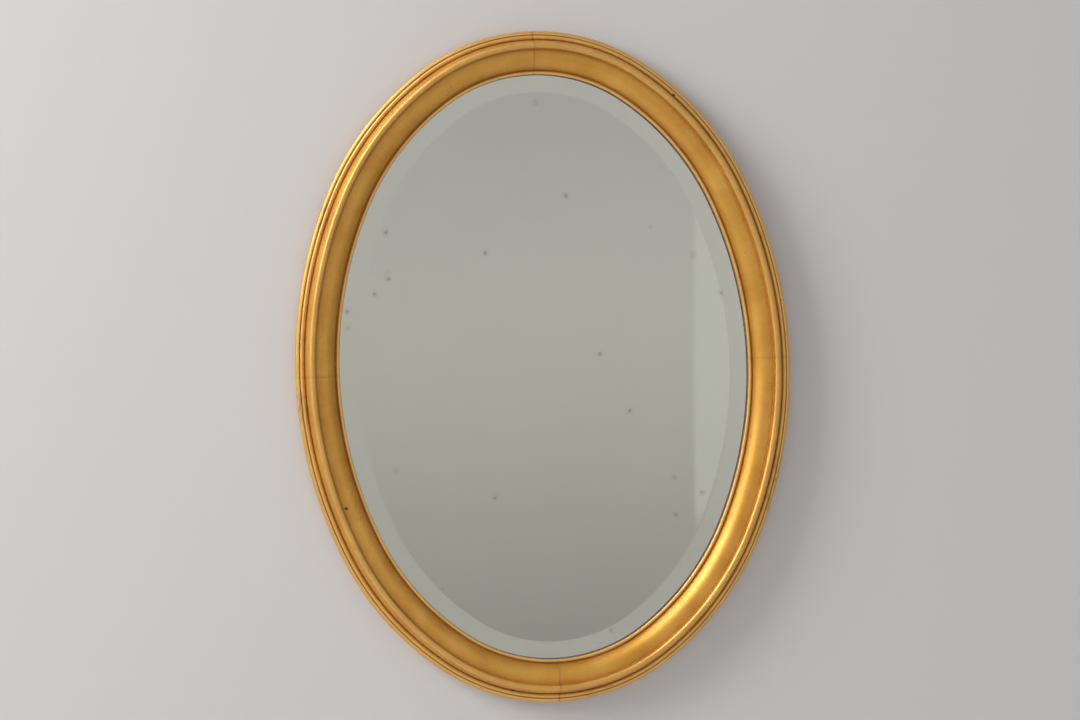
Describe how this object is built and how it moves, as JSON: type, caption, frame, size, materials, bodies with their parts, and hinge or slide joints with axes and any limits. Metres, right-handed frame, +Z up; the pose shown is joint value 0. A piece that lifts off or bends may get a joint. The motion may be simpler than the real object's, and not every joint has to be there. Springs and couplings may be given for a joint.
{
  "type": "oval wall mirror",
  "caption": "Oval wall mirror: a bevelled glass plate in a deep gilded wooden moulding, held by turn buttons behind and hung from a ring.",
  "frame": {"origin": "middle of the bounding box: the centre of the oval, half way through the depth", "axes": "+Z up the long axis of the oval, +X to the right as seen from the front, +Y to the wall; the mirror faces -Y"},
  "size_m": [0.594, 0.042, 0.8],
  "materials": {
    "gilded_wood": "wood with gesso, red bole and worn gold leaf on the front and sides",
    "bare_wood": "bare",
    "clear_glass": "polished",
    "silver": "aged silvering",
    "card": "matte",
    "board": "smooth hardboard",
    "cork": "cork",
    "turn_button_brass": "dull",
    "screw_brass": "satin",
    "plated_steel": "brass plated",
    "felt": "dense felt"
  },
  "bodies": {
    "mirror": {"frame_segment_top_right": "gilded_wood", "frame_segment_top_left": "gilded_wood", "frame_segment_bottom_left": "gilded_wood", "frame_segment_bottom_right": "gilded_wood", "joint_tongue_right": "bare_wood", "joint_tongue_top": "bare_wood", "joint_tongue_left": "bare_wood", "joint_tongue_bottom": "bare_wood", "mirror_glass": "clear_glass", "silvering": "silver", "packing_card": "card", "back_board": "board", "glass_packers": "cork", "turn_button_screws": "screw_brass", "hanger_plate": "plated_steel", "hanger_screws": "screw_brass", "wall_pad_left": "felt", "wall_pad_right": "felt"},
    "hanger_ring": {"hanger_ring": "plated_steel"},
    "turn_button_1": {"turn_button_1": "turn_button_brass"},
    "turn_button_2": {"turn_button_2": "turn_button_brass"},
    "turn_button_3": {"turn_button_3": "turn_button_brass"},
    "turn_button_4": {"turn_button_4": "turn_button_brass"},
    "turn_button_5": {"turn_button_5": "turn_button_brass"},
    "turn_button_6": {"turn_button_6": "turn_button_brass"},
    "turn_button_7": {"turn_button_7": "turn_button_brass"},
    "turn_button_8": {"turn_button_8": "turn_button_brass"}
  },
  "joints": [
    {"name": "hanger_ring_swing", "type": "hinge", "parent": "mirror", "child": "hanger_ring", "pos_m": [0, 0.01735, 0.378], "axis": [-1, 0, 0], "range_deg": [0, 175]},
    {"name": "turn_button_1_turn", "type": "hinge", "parent": "mirror", "child": "turn_button_1", "pos_m": [0.09979, 0.0157, 0.34076], "axis": [0, 1, 0], "continuous": true},
    {"name": "turn_button_2_turn", "type": "hinge", "parent": "mirror", "child": "turn_button_2", "pos_m": [0.24536, 0.0157, 0.13622], "axis": [0, 1, 0], "continuous": true},
    {"name": "turn_button_3_turn", "type": "hinge", "parent": "mirror", "child": "turn_button_3", "pos_m": [0.24536, 0.0157, -0.13622], "axis": [0, 1, 0], "continuous": true},
    {"name": "turn_button_4_turn", "type": "hinge", "parent": "mirror", "child": "turn_button_4", "pos_m": [0.09979, 0.0157, -0.34076], "axis": [0, 1, 0], "continuous": true},
    {"name": "turn_button_5_turn", "type": "hinge", "parent": "mirror", "child": "turn_button_5", "pos_m": [-0.09979, 0.0157, -0.34076], "axis": [0, 1, 0], "continuous": true},
    {"name": "turn_button_6_turn", "type": "hinge", "parent": "mirror", "child": "turn_button_6", "pos_m": [-0.24536, 0.0157, -0.13622], "axis": [0, 1, 0], "continuous": true},
    {"name": "turn_button_7_turn", "type": "hinge", "parent": "mirror", "child": "turn_button_7", "pos_m": [-0.24536, 0.0157, 0.13622], "axis": [0, 1, 0], "continuous": true},
    {"name": "turn_button_8_turn", "type": "hinge", "parent": "mirror", "child": "turn_button_8", "pos_m": [-0.09979, 0.0157, 0.34076], "axis": [0, 1, 0], "continuous": true}
  ]
}
